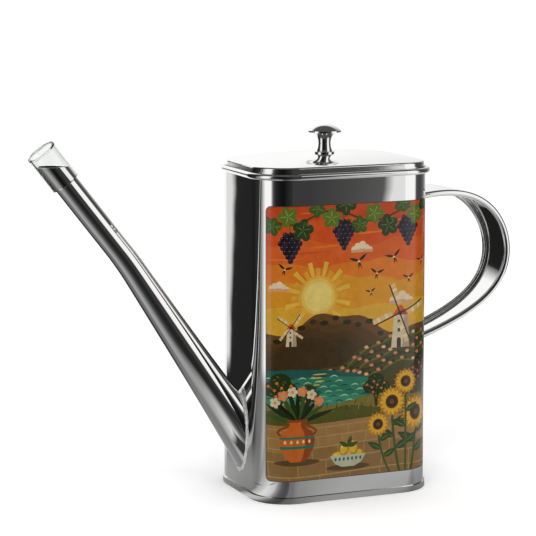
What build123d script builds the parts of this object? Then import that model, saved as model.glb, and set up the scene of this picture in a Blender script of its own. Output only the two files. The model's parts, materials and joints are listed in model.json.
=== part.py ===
from build123d import *
import math
import os

# An oil can of polished sheet steel. Millimetres and degrees.
# X runs from the spout to the handle, the picture faces -Y, and Z is up from the surface that the can stands on.

# Body: an upright wall with rounded corners, its top edge rolled outward
body_length = 85.0
body_depth = 63.3
corner_radius = 16.5
body_sheet = 0.7
roll_centre_height = 148.4
roll_radius = 1.4
roll_turn = 285.0

# Base pan: the floor of the can, its edge folded up round the wall
pan_sheet = 0.75
band_height = 2.8
band_round = 0.5
panel_inset = 7.0
panel_rise = 0.8

# Picture: a printed sheet on the front, wrapped part of the way round both corners
picture_sheet = 0.15
picture_bottom = 10.3
picture_height = 125.3
picture_corner = 2.2
picture_wrap = 55.0

# Spout: a flared tube that rises from the wall, bends slightly and is cut level at the tip
spout_sheet = 0.6
joint_height = 29.4
spout_rise = 56.5
flare_length = 90.4
joint_radius = 9.65
neck_radius = 5.98
flare_hollow = 0.16
bend_angle = 4.4
bend_radius = 180.0
tip_radius = 5.68
tip_height = 154.6
joint_bead = 1.3
bead_lip = 0.25

# Cap: a clear push-on cap over the tip of the spout
cap_clearance = 0.1
cap_sheet = 1.1
cap_grip = 9.3
cap_length = 18.4
cap_round = 0.9

# Handle: a strap with rolled edges, wider at the top, its flat ends on the wall
grip_top_height = 134.4
grip_bottom_height = 66.6
grip_reach = 47.6
grip_pull_shares = [(1.129, 1.140), (1.005, 0.530), (1.348, 0.314)]
strap_sheet = 0.9
edge_roll_radius = 1.5
edge_roll_proud = 0.15
strap_top_width = 27.8
strap_bottom_width = 19.6
foot_length = 8.5
foot_corner = 3.0

# Lid: a domed cover with a short wall and a thin flange, over a ring that enters the mouth
lid_sheet = 0.5
plug_clearance = 0.4
lid_seat_gap = 0.1
flange_overhang = 0.2
lid_wall_height = 2.5
lid_edge_round = 1.0
crown_rise = 2.9
plug_depth = 9.0
plug_top_gap = 0.3

# Knob: turned, with a thin foot ring, a narrow waist and a domed head
foot_radius = 4.66
foot_height = 0.8
foot_round = 0.3
stem_radius = 3.9
waist_radius = 2.93
waist_height = 4.6
throat_radius = 3.8
throat_height = 7.8
brow_radius = 5.6
brow_height = 9.6
head_radius = 7.85
head_underside = 9.75
head_edge = 0.7
knob_height = 13.5

# Screw and washer that hold the knob from inside the lid
screw_radius = 2.0
screw_reach = 7.0
screw_hole_clearance = 0.2
screw_head_radius = 3.7
screw_head_height = 2.3
screw_slot_width = 1.0
screw_slot_depth = 1.2
washer_radius = 6.0
washer_thickness = 0.8
washer_margin = 0.8

# Cuts run past the faces they open by this much
overrun = 2.0

wall_x = body_length / 2
rim_top = roll_centre_height + roll_radius
plug_outline = -body_sheet - plug_clearance
lid_outline = plug_outline + lid_sheet
lid_seat = rim_top + lid_seat_gap
lid_edge_height = lid_seat + lid_wall_height
lid_top = lid_edge_height + crown_rise
lid_underside = lid_top - lid_sheet


def outline(offset, height):
    """The body's outline seen from above, moved outward by offset."""
    face = RectangleRounded(body_length + 2 * offset, body_depth + 2 * offset, corner_radius + offset)
    return Plane.XY.offset(height) * face


def prism(offset, bottom, top):
    """An upright block with the body's outline, moved outward by offset."""
    return extrude(outline(offset, bottom), top - bottom)


def ring(outer_offset, inner_offset, bottom, top):
    """An upright wall that follows the body's outline between two offsets."""
    return prism(outer_offset, bottom, top) - prism(inner_offset, bottom, top)


def disc(radius, bottom, top):
    """An upright round block on the knob's axis."""
    return extrude(Plane.XY.offset(bottom) * Circle(radius), top - bottom)


# Spout frames: both stretches of the spout lie in the plane y = 0

def spout_frame(origin_x, origin_z, elevation):
    """A plane square to the spout, its normal along the spout towards the tip."""
    rise = math.radians(elevation)
    return Plane(origin=(origin_x, 0, origin_z), x_dir=(0, 1, 0), z_dir=(-math.cos(rise), 0, math.sin(rise)))


joint_frame = spout_frame(-wall_x, joint_height, spout_rise)
neck_frame = joint_frame.offset(flare_length)
flare_slope = (joint_radius - neck_radius + 4 * flare_hollow) / flare_length
tip_rise = spout_rise - bend_angle


def bend_frame(share):
    """A plane square to the bend, at a share of its turn."""
    start = math.radians(spout_rise)
    turned = math.radians(bend_angle * share)
    along = bend_radius * math.sin(turned)
    aside = bend_radius * (1 - math.cos(turned))
    x = neck_frame.origin.X - along * math.cos(start) - aside * math.sin(start)
    z = neck_frame.origin.Z + along * math.sin(start) - aside * math.cos(start)
    return spout_frame(x, z, spout_rise - bend_angle * share)


tip_frame = bend_frame(1.0)
straight_length = (tip_height - tip_frame.origin.Z) / math.sin(math.radians(tip_rise))
tip_slant = tip_radius / math.tan(math.radians(tip_rise))


def spout_flare(inset):
    """The flared lower stretch, run on through the wall to where the joint's lower edge needs it."""
    root_run = 2 * joint_radius * math.tan(math.radians(spout_rise))
    root = (joint_radius - inset, 0)
    middle = ((joint_radius + neck_radius) / 2 - flare_hollow - inset, flare_length / 2)
    neck = (neck_radius - inset, flare_length)
    side = ThreePointArc(root, middle, neck)
    root_end = side @ 0 - (side % 0) * root_run
    axis_line = Polyline(neck, (0, flare_length), (0, root_end.Y), (root_end.X, root_end.Y), root)
    profile = make_face(side + axis_line)
    half_section = Plane(origin=joint_frame.origin, x_dir=(0, 1, 0), z_dir=joint_frame.x_dir.cross(joint_frame.z_dir))
    return revolve(half_section * profile, Axis(joint_frame.origin, joint_frame.z_dir))


def spout_bend(inset):
    """The slight bend, tapering from the neck to the tip's size."""
    shares = [0.0, 0.5, 1.0]
    rings = [bend_frame(s) * Circle(neck_radius + (tip_radius - neck_radius) * s - inset) for s in shares]
    return loft(rings)


def spout_straight(inset):
    """The straight stretch, long enough to be cut level at the tip."""
    return extrude(tip_frame * Circle(tip_radius - inset), straight_length + 2 * tip_slant)


def spout_core(inset):
    """The spout as one solid rod, made thinner all round by inset."""
    return spout_flare(inset) + spout_bend(inset) + spout_straight(inset)


def body_shell(spout_bore):
    """Wall and rolled rim in one, swept round the outline, with a hole into the spout."""
    path = outline(0, 0).face().outer_wire()
    start = path.position_at(0)
    along = path.tangent_at(0)
    outward = along.cross(Vector(0, 0, 1))
    if outward.dot(Vector(start.X, start.Y, 0)) < 0:
        outward = -outward
    section_plane = Plane(origin=start, x_dir=outward, z_dir=outward.cross(Vector(0, 0, 1)))
    centre = (roll_radius - body_sheet, roll_centre_height)
    outer = CenterArc(centre, roll_radius, 180, -roll_turn)
    inner = CenterArc(centre, roll_radius - body_sheet, 180, -roll_turn)
    roll = make_face(outer + inner + Line(outer @ 1, inner @ 1) + Line(inner @ 0, outer @ 0))
    wall_middle = (roll_centre_height + pan_sheet) / 2
    wall = Pos(-body_sheet / 2, wall_middle) * Rectangle(body_sheet, roll_centre_height - pan_sheet)
    shell = sweep(section_plane * (wall + roll), path)
    return shell - spout_bore


def base_pan():
    """Floor with a raised panel, and a folded band that takes the wall's lower edge."""
    block = prism(pan_sheet, 0, band_height)
    block = fillet(block.edges().group_by(Axis.Z)[0], band_round)
    recess = band_height - pan_sheet
    block -= ring(0, -body_sheet, pan_sheet, band_height)
    block -= prism(-body_sheet - pan_sheet, 0, recess)
    block += prism(-panel_inset, band_height - pan_sheet, band_height + panel_rise)
    return block - prism(-panel_inset - pan_sheet, 0, recess + panel_rise)


def picture():
    """The printed sheet: a thin skin on the front, out to the wrap angle on each corner."""
    top = picture_bottom + picture_height
    skin = ring(picture_sheet, 0, picture_bottom, top)
    wrap = math.sin(math.radians(picture_wrap))
    width = body_length - 2 * corner_radius + 2 * (corner_radius + picture_sheet) * wrap
    middle = Plane(origin=(0, 0, picture_bottom + picture_height / 2), x_dir=(1, 0, 0), z_dir=(0, -1, 0))
    return skin & extrude(middle * RectangleRounded(width, picture_height, picture_corner), body_depth)


def spout_tube():
    """The tube, its root cut to the wall and its tip cut level."""
    tube = spout_core(0) - spout_core(spout_sheet)
    tube = split(tube, bisect_by=Plane(origin=(-wall_x, 0, 0), z_dir=(-1, 0, 0)), keep=Keep.TOP)
    return split(tube, bisect_by=Plane.XY.offset(tip_height), keep=Keep.BOTTOM)


def spout_joint():
    """Brazed bead round the spout's root, broad on the wall and thin on the tube."""
    rise = math.radians(spout_rise)
    reach_down = joint_radius / (math.cos(rise) - flare_slope * math.sin(rise))
    reach_up = joint_radius / (math.cos(rise) + flare_slope * math.sin(rise))
    half_height = (reach_down + reach_up) / 2
    middle = joint_height + (reach_up - reach_down) / 2
    wall_plane = Plane(origin=(-wall_x, 0, middle), x_dir=(0, 1, 0), z_dir=(-1, 0, 0))
    lip_rise = joint_bead * math.tan(rise)
    lip_plane = Plane(origin=(-wall_x - joint_bead, 0, middle + lip_rise), x_dir=(0, 1, 0), z_dir=(-1, 0, 0))
    foot = wall_plane * Ellipse(joint_radius + joint_bead, half_height + joint_bead)
    lip = lip_plane * Ellipse(joint_radius + bead_lip, half_height + bead_lip)
    return loft([foot, lip]) - spout_flare(0)


def spout_cap():
    """Clear cap: a tube closed at its far end, pushed over the tip."""
    start = tip_frame.offset(straight_length - cap_grip)
    bore_radius = tip_radius + cap_clearance
    cap = extrude(start * Circle(bore_radius + cap_sheet), cap_length)
    cap = fillet(cap.edges().sort_by(Axis(start.origin, start.z_dir))[-1], cap_round)
    return cap - extrude(start * Circle(bore_radius), cap_length - cap_sheet)


def grip_path():
    """Centre line of the strap's edge rolls: one smooth curve, run on into the wall at both ends."""
    rise = grip_top_height - grip_bottom_height
    top = Vector(wall_x, grip_top_height)
    bottom = Vector(wall_x, grip_bottom_height)
    pulls = [Vector(wall_x + x * grip_reach, grip_bottom_height + z * rise) for x, z in grip_pull_shares]
    curve = Bezier(top, *pulls, bottom)
    lead_in = Line(top - (curve % 0) * overrun, top)
    lead_out = Line(bottom, bottom + (curve % 1) * overrun)
    return Plane.XZ * (lead_in + curve + lead_out)


def half_width(height):
    """Half the distance between the strap's edge rolls at a height."""
    share = (height - grip_bottom_height) / (grip_top_height - grip_bottom_height)
    return (strap_bottom_width + (strap_top_width - strap_bottom_width) * share) / 2 - edge_roll_radius


def strap_foot(height, direction):
    """A flat end of the strap on the wall, pointing up or down from the height where the strap meets it."""
    width = 2 * half_width(height)
    length = foot_length + foot_corner
    middle = height + direction * (foot_length - foot_corner) / 2
    plane = Plane(origin=(wall_x, 0, middle), x_dir=(0, 1, 0), z_dir=(1, 0, 0))
    return extrude(plane * RectangleRounded(width, length, foot_corner), strap_sheet)


def handle_strap():
    """The strap: a thin web between two rolled edges, spread apart towards the top, and two flat feet."""
    path = grip_path()
    start = Plane(origin=path @ 0, x_dir=(0, 1, 0), z_dir=path % 0)
    low = half_width(grip_bottom_height)
    high = half_width(grip_top_height)
    spread = math.degrees(math.atan2(high - low, grip_top_height - grip_bottom_height))
    web_offset = edge_roll_radius - edge_roll_proud - strap_sheet / 2
    web_line = Pos(0, web_offset) * Rectangle(2 * strap_top_width, strap_sheet)
    web = sweep(start * web_line, path)
    span = [grip_bottom_height - grip_reach, grip_top_height + grip_reach]
    left = [(-half_width(z), z) for z in span]
    right = [(half_width(z), z) for z in reversed(span)]
    gap = Plane(origin=(0, 0, 0), x_dir=(0, 1, 0), z_dir=(1, 0, 0)) * Polygon(*left, *right, align=None)
    web &= extrude(gap, wall_x + 2 * grip_reach, both=True)
    edge = sweep(start * Circle(edge_roll_radius), path)
    hinge = Axis((0, 0, grip_bottom_height), (1, 0, 0))
    strap = web
    for side in (-1, 1):
        strap += Pos(0, side * low, 0) * edge.rotate(hinge, -side * spread)
    strap += strap_foot(grip_top_height, 1)
    strap += strap_foot(grip_bottom_height, -1)
    return split(strap, bisect_by=Plane(origin=(wall_x, 0, 0), z_dir=(1, 0, 0)), keep=Keep.TOP)


def crown_outline(offset, inset_share, height):
    """The lid's outline shrunk towards the flat in the middle, which carries the knob and its washer."""
    flat_share = (washer_radius + washer_margin) / (body_depth / 2 + offset)
    size = 1 - (1 - flat_share) * inset_share
    length = (body_length + 2 * offset) * size
    depth = (body_depth + 2 * offset) * size
    return Plane.XY.offset(height) * RectangleRounded(length, depth, (corner_radius + offset) * size)


def lid_block(offset, bottom, edge_height, edge_round):
    """A block with the lid's outline, a rounded edge and a domed crown, steepest at its edge."""
    shares = [0, 0.25, 0.5, 0.75, 1]
    crown = loft([crown_outline(offset, u, edge_height + crown_rise * u * (2 - u)) for u in shares])
    block = prism(offset, bottom, edge_height) + crown
    at_edge = block.edges().filter_by(lambda e: abs(e.center().Z - edge_height) < edge_round / 4)
    return fillet(at_edge, edge_round)


def lid_cover():
    """The pressed cover, hollow underneath, with its flange on the rim and a hole for the screw."""
    cover = lid_block(lid_outline, lid_seat, lid_edge_height, lid_edge_round)
    cover -= lid_block(plug_outline, lid_seat, lid_edge_height - lid_sheet, lid_edge_round - lid_sheet)
    cover += ring(flange_overhang, plug_outline, lid_seat, lid_seat + lid_sheet)
    return cover - disc(screw_radius + screw_hole_clearance, lid_seat, lid_top + overrun)


def lid_plug():
    """Ring inside the cover's wall that reaches down into the mouth."""
    top = lid_edge_height - lid_edge_round - plug_top_gap
    return ring(plug_outline, plug_outline - lid_sheet, lid_seat - plug_depth, top)


def knob():
    """Turned knob with a blind hole for the screw."""
    edge_height = head_underside + head_edge
    stem = Spline(
        (stem_radius, foot_height),
        (waist_radius, waist_height),
        (throat_radius, throat_height),
        (brow_radius, brow_height),
        (head_radius, head_underside),
    )
    dome = TangentArc((0, knob_height), (head_radius, edge_height), tangent=(1, 0))
    foot = FilletPolyline((stem_radius, foot_height), (foot_radius, foot_height), (foot_radius, 0), radius=foot_round)
    middle = Polyline((foot_radius, 0), (0, 0), (0, knob_height))
    head_side = Line((head_radius, head_underside), (head_radius, edge_height))
    profile = make_face(stem + head_side + dome + middle + foot)
    turned = Pos(0, 0, lid_top) * revolve(Plane.XZ * profile, Axis.Z)
    return turned - disc(screw_radius, lid_top - overrun, lid_top + screw_reach)


def knob_washer():
    """Washer against the lid's underside."""
    bottom = lid_underside - washer_thickness
    washer = disc(washer_radius, bottom, lid_underside)
    return washer - disc(screw_radius + screw_hole_clearance, bottom, lid_underside)


def knob_screw():
    """Slotted screw, its head under the washer and its shank up into the knob."""
    seat = lid_underside - washer_thickness
    head = disc(screw_head_radius, seat - screw_head_height, seat)
    head = fillet(head.edges().group_by(Axis.Z)[0], screw_head_height / 3)
    slot_plane = Plane.XY.offset(seat - screw_head_height)
    slot = extrude(slot_plane * Rectangle(2 * screw_head_radius, screw_slot_width), screw_slot_depth)
    return head - slot + disc(screw_radius, seat, lid_top + screw_reach)


nodes = {
    "body_shell": body_shell(spout_flare(spout_sheet)),
    "base_pan": base_pan(),
    "picture_sheet": picture(),
    "spout_tube": spout_tube(),
    "spout_joint": spout_joint(),
    "spout_cap": spout_cap(),
    "handle_strap": handle_strap(),
    "lid_cover": lid_cover(),
    "lid_plug": lid_plug(),
    "knob": knob(),
    "knob_washer": knob_washer(),
    "knob_screw": knob_screw(),
}

os.makedirs("parts", exist_ok=True)
for name, shape in nodes.items():
    export_step(shape, f"parts/{name}.step")
    box = shape.bounding_box()
    print(name, [round(v, 2) for v in (*box.min, *box.max)], round(shape.volume, 1))
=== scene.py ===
# %% [markdown]
# # An oil can of polished steel
#
# The can is pressed and rolled from thin stainless sheet, and a printed sheet is glued round its front.
# The frame holds the engineer's solids: body, base, lid, knob, spout, handle and cap.
# Each cell below dresses one of them, and the last ones set up the studio.

# %% Load the frame
import json
from math import copysign, cos, degrees, exp, pi, radians, sin, sqrt, tan, tanh, tau

import bmesh
import bpy
from mathutils import Matrix, Vector, geometry, noise


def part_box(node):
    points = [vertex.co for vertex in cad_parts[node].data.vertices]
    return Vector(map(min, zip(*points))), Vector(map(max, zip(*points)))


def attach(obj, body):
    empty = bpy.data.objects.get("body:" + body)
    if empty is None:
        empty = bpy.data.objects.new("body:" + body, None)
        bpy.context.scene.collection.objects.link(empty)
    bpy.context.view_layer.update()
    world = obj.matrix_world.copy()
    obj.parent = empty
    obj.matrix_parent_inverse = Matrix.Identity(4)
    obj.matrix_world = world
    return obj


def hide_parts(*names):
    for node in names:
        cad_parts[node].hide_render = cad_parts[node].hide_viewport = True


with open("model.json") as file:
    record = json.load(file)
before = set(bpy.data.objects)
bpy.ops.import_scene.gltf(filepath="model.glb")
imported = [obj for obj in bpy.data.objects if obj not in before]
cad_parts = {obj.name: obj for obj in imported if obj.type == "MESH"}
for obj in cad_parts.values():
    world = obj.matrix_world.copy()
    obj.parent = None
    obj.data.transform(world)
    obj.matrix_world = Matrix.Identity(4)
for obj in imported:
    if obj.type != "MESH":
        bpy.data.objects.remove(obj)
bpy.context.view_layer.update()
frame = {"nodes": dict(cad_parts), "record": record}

mm = 0.001
print("solids:", ", ".join(sorted(frame["nodes"])))

# %% [markdown]
# ## The camera
#
# The can was photographed with a long lens from the front, a little to the spout's side and a little above.
# The lens is shifted down slightly, so the can sits low in the picture while its sides stay nearly upright.

# %% Camera
camera_place, camera_drop, camera_turn = Vector((-423.68, -942.55, 263.52)), 7.681, 22.768


def stand(name, data):
    """Puts a new object with its data into the scene."""
    made = bpy.data.objects.new(name, data)
    bpy.context.scene.collection.objects.link(made)
    return made


camera_data = bpy.data.cameras.new("camera")
camera_data.sensor_width, camera_data.lens, camera_data.shift_y = 36.0, 151.6, -0.09
camera_data.clip_start, camera_data.clip_end = 0.05, 20.0
camera = stand("camera", camera_data)
bpy.context.scene.camera = camera
camera.location = camera_place * mm
camera.rotation_euler = (radians(90 - camera_drop), 0.0, radians(-camera_turn))
print("camera distance", round(camera.location.length, 3), "m")

# %% [markdown]
# ## Colours and nodes
#
# Colours are written as they look on a screen, and one function turns them into the linear values of light.
# One small function adds a node with its settings and links.
# A pattern's scale is worked out from a real size, such as the spacing of hairlines.

# %% Colour and node helpers
def linear(hex_colour):
    """The linear colour, with full opacity, of a colour written as on a screen."""
    parts = [int(hex_colour[i:i + 2], 16) / 255 for i in (1, 3, 5)]
    return [c / 12.92 if c <= 0.04045 else ((c + 0.055) / 1.055) ** 2.4 for c in parts] + [1.0]


def feed(made, inputs):
    """Gives a node's inputs values, or links them to a socket or to another node's first result."""
    for key, value in inputs.items():
        if isinstance(value, bpy.types.Node):
            value = next(output for output in value.outputs if output.enabled)
        if isinstance(value, bpy.types.NodeSocket):
            made.id_data.links.new(value, made.inputs[key])
        else:
            made.inputs[key].default_value = value


def node(tree, kind, inputs=None, **settings):
    """Adds a shader node: its settings first, then its inputs, by name or number."""
    made = tree.nodes.new("ShaderNode" + kind)
    for name, value in settings.items():
        setattr(made, name, value)
    feed(made, inputs or {})
    return made


def bare_material(name):
    """A material and its tree, with no node in it yet."""
    made = bpy.data.materials.new(name)
    made.use_nodes = True
    made.node_tree.nodes.clear()
    return made, made.node_tree


def new_material(name):
    """A material and its tree, with a shader joined to the output."""
    made, tree = bare_material(name)
    shader = node(tree, "BsdfPrincipled")
    node(tree, "OutputMaterial", {"Surface": shader})
    return made, tree, shader


def per_metre(size):
    """The scale of a pattern whose features are a size in millimetres apart."""
    return 1 / (size * mm)


print("#808080 in linear light:", round(linear("#808080")[0], 3))

# %% [markdown]
# ## Sheet steel
#
# The can is bright sheet steel, polished on a wheel, so it mirrors the room with very little blur.
# What tells steel from a perfect mirror is small: hairlines from the wheel, a roughness that drifts where
# cloths have rubbed it, and the shallow waves that thin sheet keeps after rolling.
# Noise draws all three, and bump nodes carry the hairlines and the waves, since neither changes the outline.
# Real hairlines are finer than a pixel, so they are drawn about a millimetre apart.

# %% Steel finishes
hairline_spacing, rubbed_size, rubbed_share = 1.1111, 14.2857, 0.3


def steel(name, colours, roughness, hairlines, hairline_depth, wave_depth, wave_size=28.5714, metallic=1.0):
    """Polished metal: hairlines stretched along one axis, a drifting roughness and shallow waves."""
    made, tree, shader = new_material(name)
    place = node(tree, "TexCoord").outputs["Object"]
    lines = node(tree, "Mapping", {"Vector": place, "Scale": hairlines})
    fine = node(tree, "TexNoise", {"Vector": lines, "Detail": 3.0, "Scale": per_metre(hairline_spacing)})
    broad = node(tree, "TexNoise", {"Vector": place, "Scale": per_metre(wave_size), "Detail": 1.0})
    rubbed = node(tree, "TexNoise", {
        "Vector": place, "Scale": per_metre(rubbed_size), "Detail": 4.0, "Roughness": 0.6})
    drift = node(tree, "MapRange", {
        "Value": rubbed, "From Min": 0.3, "From Max": 0.7,
        "To Min": roughness * (1 - rubbed_share), "To Max": roughness * (1 + rubbed_share)})
    dark, light = (linear(colour) for colour in colours)
    tint = node(tree, "Mix", {"Factor": broad, "A": dark, "B": light}, data_type="RGBA")
    waves = node(tree, "Bump", {"Height": broad, "Distance": wave_depth * mm})
    scratches = node(tree, "Bump", {"Height": fine, "Normal": waves, "Distance": hairline_depth * mm})
    feed(shader, {"Base Color": tint, "Metallic": metallic, "Roughness": drift, "Normal": scratches})
    return made


# The wall on plan, in millimetres: half its length, half its depth and the radius of its corners.
wall_half_length, wall_half_depth, wall_corner = 42.5, 31.65, 16.5
# The inner face lies at least this deep within that outline, and it mirrors less and blurs more.
inner_depth, dull_metal, dull_roughness = 0.2, 0.35, 0.42


def dull_inside(made):
    """Only the outside is polished: the inner face keeps the dull skin that the sheet was rolled with."""
    tree = made.node_tree
    shader = tree.nodes["Principled BSDF"]
    place = node(tree, "TexCoord").outputs["Object"]
    flat = node(tree, "VectorMath", {0: place, 1: (1, 1, 0)}, operation="MULTIPLY")
    folded = node(tree, "VectorMath", {0: flat}, operation="ABSOLUTE")
    straight = Vector((wall_half_length - wall_corner, wall_half_depth - wall_corner, 0.0)) * mm
    past = node(tree, "VectorMath", {0: folded, 1: straight}, operation="SUBTRACT")
    past = node(tree, "VectorMath", {0: past, 1: (0, 0, 0)}, operation="MAXIMUM")
    reach = node(tree, "VectorMath", {0: past}, operation="LENGTH")
    within = node(tree, "Math", {0: reach, 1: (wall_corner - inner_depth) * mm}, operation="LESS_THAN")
    metal = node(tree, "MapRange", {"Value": within, "To Min": 1.0, "To Max": dull_metal})
    polish = shader.inputs["Roughness"].links[0].from_socket
    rough = node(tree, "Mix", {"Factor": within, "A": polish, "B": dull_roughness}, data_type="FLOAT")
    feed(shader, {"Metallic": metal, "Roughness": rough})


def dress(finish, *names):
    """Puts a finish on solids of the frame."""
    for name in names:
        solid = frame["nodes"][name]
        solid.data.materials.clear()
        solid.data.materials.append(finish)
    print(finish.name, "on", ", ".join(names))


# How far a hairline is drawn out on each axis: upright, from side to side, or not at all.
upright, sideways, any_way = (1.0, 1.0, 0.02), (0.02, 1.0, 1.0), (1.0, 1.0, 1.0)
bright = ("#F7F7F6", "#FAFAF9")
# Stainless steel polished on a wheel is a clear mirror. On the lid, strap and knob it blurs a little more.
mirror = steel("mirror_polished_steel", bright, 0.016, upright, 0.00012, 0.02)
dull_inside(mirror)
dress(mirror, "body_shell")
dress(steel("buffed_lid_steel", bright, 0.06, sideways, 0.00015, 0.02), "lid_cover")
dress(steel("rolled_strap_steel", bright, 0.05, upright, 0.00015, 0.02), "handle_strap")
dress(steel("turned_knob_steel", bright, 0.04, sideways, 0.0001, 0.005), "knob")
# The folded base and the ring are left as rolled, and the screw is plated: greyer, with soft reflections.
dress(steel("folded_pan_steel", ("#D8D8D6", "#E2E2E0"), 0.16, sideways, 0.0006, 0.02), "base_pan")
dress(steel("plain_ring_steel", ("#C9C9C6", "#D2D2D0"), 0.22, upright, 0.002, 0.02), "lid_plug")
plated = steel("zinc_plated_steel", ("#B9BCBF", "#C6C8CA"), 0.28, any_way, 0.002, 0.01)
dress(plated, "knob_washer", "knob_screw")

# %% [markdown]
# ## The spout's tube
#
# The tube is rolled from sheet, flared towards the wall, bent a little above the flare and cut level at its
# mouth. A mirror finish shows every facet, so the tube is drawn here from close rings along its line.
# Each ring is a circle, neighbouring rings are bridged, and two planes cut the wall end and the mouth.

# %% Spout tube
def stand_mesh(name, bm, finish):
    """Puts a new object with this mesh and finish into the scene."""
    mesh = bpy.data.meshes.new(name)
    bm.to_mesh(mesh)
    bm.free()
    mesh.materials.append(finish)
    return stand(name, mesh)


def add_piece(name, bm, finish, body, slot, *nodes):
    """Makes a piece that moves with a body and stands for solids of the frame."""
    piece = stand_mesh(name, bm, finish)
    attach(piece, body)
    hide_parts(*nodes)
    print(name, "faces", len(piece.data.polygons))


# The tube's rise and its bend, then its lengths and radii in millimetres, from the wall to the tip.
spout_turn, bend_turn, bend_radius = radians(56.5), radians(4.4), 180.0
flare_length, flare_hollow, tube_sheet = 90.4, 0.16, 0.6
root_height, root_radius, root_slope, neck_radius, tip_radius = 29.4, 9.65, 0.0477, 5.98, 5.68
tube_high = Vector(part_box("spout_tube")[1]) / mm
root_centre = Vector((tube_high.x, 0.0, root_height))
# The rings run on past both cuts, and the straight stretch before the mouth has one ring at its start.
root_overrun, mouth_overrun, straight_length = 20.0, 8.0, 25.0
across = Vector((0.0, 1.0, 0.0))


def rising(turn):
    """The direction of a line that leans back from the wall and rises at an angle."""
    return Vector((-cos(turn), 0.0, sin(turn)))


def upward(turn):
    """The upper side of such a line."""
    return Vector((sin(turn), 0.0, cos(turn)))


spout_line, upper = rising(spout_turn), upward(spout_turn)
bend_length = bend_radius * bend_turn


def spout_station(along):
    """Centre, rise and radius of the tube at a distance along its line from the wall."""
    share = along / flare_length
    if share <= 1:
        hollow = 4 * flare_hollow * share * (1 - share)
        radius = root_radius + (neck_radius - root_radius) * share - hollow
        if share <= 0:
            radius = root_radius - root_slope * along
        return root_centre + spout_line * along, spout_turn, radius
    bent = min(along - flare_length, bend_length) / bend_radius
    centre = root_centre + spout_line * (flare_length + bend_radius * sin(bent))
    centre -= upper * bend_radius * (1 - cos(bent))
    rise = spout_turn - bent
    beyond = max(0.0, along - flare_length - bend_length)
    return centre + rising(rise) * beyond, rise, neck_radius + (tip_radius - neck_radius) * bent / bend_turn


def tube_wall(bm, inset, stations, segments=96):
    """One wall of the tube: circles at the stations, bridged one to the next."""
    rings = []
    for along in stations:
        centre, rise, radius = spout_station(along)
        out = upward(rise)
        axes = Matrix((across, out, across.cross(out))).transposed().to_4x4()
        made = bmesh.ops.create_circle(bm, segments=segments, radius=(radius - inset) * mm,
                                       matrix=Matrix.Translation(centre * mm) @ axes)
        rings.append(list({edge for vertex in made["verts"] for edge in vertex.link_edges}))
    for ring, following in zip(rings, rings[1:]):
        bmesh.ops.bridge_loops(bm, edges=ring + following)


def tube_mesh():
    """Outer and inner wall, cut at the can's wall and at the mouth, and closed at both cuts."""
    flare = [flare_length * i / 14 for i in range(15)]
    bend = [flare_length + bend_length * i / 8 for i in range(1, 9)]
    reach = (tube_high.z - root_centre.z) / sin(spout_turn - bend_turn) + mouth_overrun
    stations = [-root_overrun, -root_overrun / 2] + flare + bend + [reach - straight_length, reach]
    bm = bmesh.new()
    tube_wall(bm, 0.0, stations)
    tube_wall(bm, tube_sheet, stations)
    for place, normal in (((root_centre.x * mm, 0, 0), (1, 0, 0)), ((0, 0, tube_high.z * mm), (0, 0, 1))):
        sliced = bmesh.ops.bisect_plane(bm, geom=bm.verts[:] + bm.edges[:] + bm.faces[:], plane_co=place,
                                        plane_no=normal, clear_outer=True)["geom_cut"]
        rim = [edge for edge in sliced if isinstance(edge, bmesh.types.BMEdge)]
        bmesh.ops.bridge_loops(bm, edges=rim)
        for edge in rim:
            edge.smooth = False
    bmesh.ops.recalc_face_normals(bm, faces=bm.faces)
    for face in bm.faces:
        face.smooth = True
    return bm


spun_steel = steel("spun_tube_steel", bright, 0.03, any_way, 0.0001, 0.015)
add_piece("spun_tube", tube_mesh(), spun_steel, "can", "polished_steel", "spout_tube")

# %% [markdown]
# ## The printed picture
#
# A printed sheet is made flat and bent round the can, so the picture is drawn flat too, in millimetres.
# It is built as cut paper would be: plain shapes are laid over each other, and the topmost gives the colour.
# All their edges are then joined into one mesh, so no two layers can flicker through each other.

# %% Flat shapes
print_thickness, print_wrap, print_rounding = 0.15, radians(55), 2.6
border, border_colour = 0.35, "#5E4436"
print_low, print_high = (corner[2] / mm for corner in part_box("picture_sheet"))
flat_half = wall_half_length - wall_corner
print_half = flat_half + (wall_corner + print_thickness) * print_wrap
print_height = print_high - print_low
layers = []


def paint(colour, points):
    """Lays one shape over the ones before it, its points put in anticlockwise order."""
    area = sum(x1 * y2 - x2 * y1 for (x1, y1), (x2, y2) in zip(points, points[1:] + points[:1]))
    layers.append((colour, points if area > 0 else points[::-1]))


def turned(points, x, y, angle=0.0):
    """Points turned by an angle in degrees and moved to a place."""
    c, s = cos(radians(angle)), sin(radians(angle))
    return [(x + px * c - py * s, y + px * s + py * c) for px, py in points]


def scaled(points, x, y, size):
    """Points given as shares of a size, moved to a place."""
    return [(x + px * size, y + py * size) for px, py in points]


def oval(colour, x, y, width, height=None, angle=0.0, steps=18):
    """A filled ellipse."""
    height = height or width
    turns = [tau * i / steps for i in range(steps)]
    paint(colour, turned([(width / 2 * cos(t), height / 2 * sin(t)) for t in turns], x, y, angle))


def box(colour, x, y, width, height, angle=0.0, top=None):
    """A rectangle standing on the middle of its lower edge, or a taper when its top has another width."""
    top = width if top is None else top
    corners = [(-width / 2, 0), (width / 2, 0), (top / 2, height), (-top / 2, height)]
    paint(colour, turned(corners, x, y, angle))


def leaf(colour, x, y, length, width, angle, steps=7):
    """A pointed leaf, from its stalk at x, y."""
    shares = [i / steps for i in range(steps + 1)]
    edge = [(length * s, width / 2 * sin(pi * s ** 0.8)) for s in shares]
    paint(colour, turned(edge + [(px, -py) for px, py in reversed(edge[1:-1])], x, y, angle))


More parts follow.
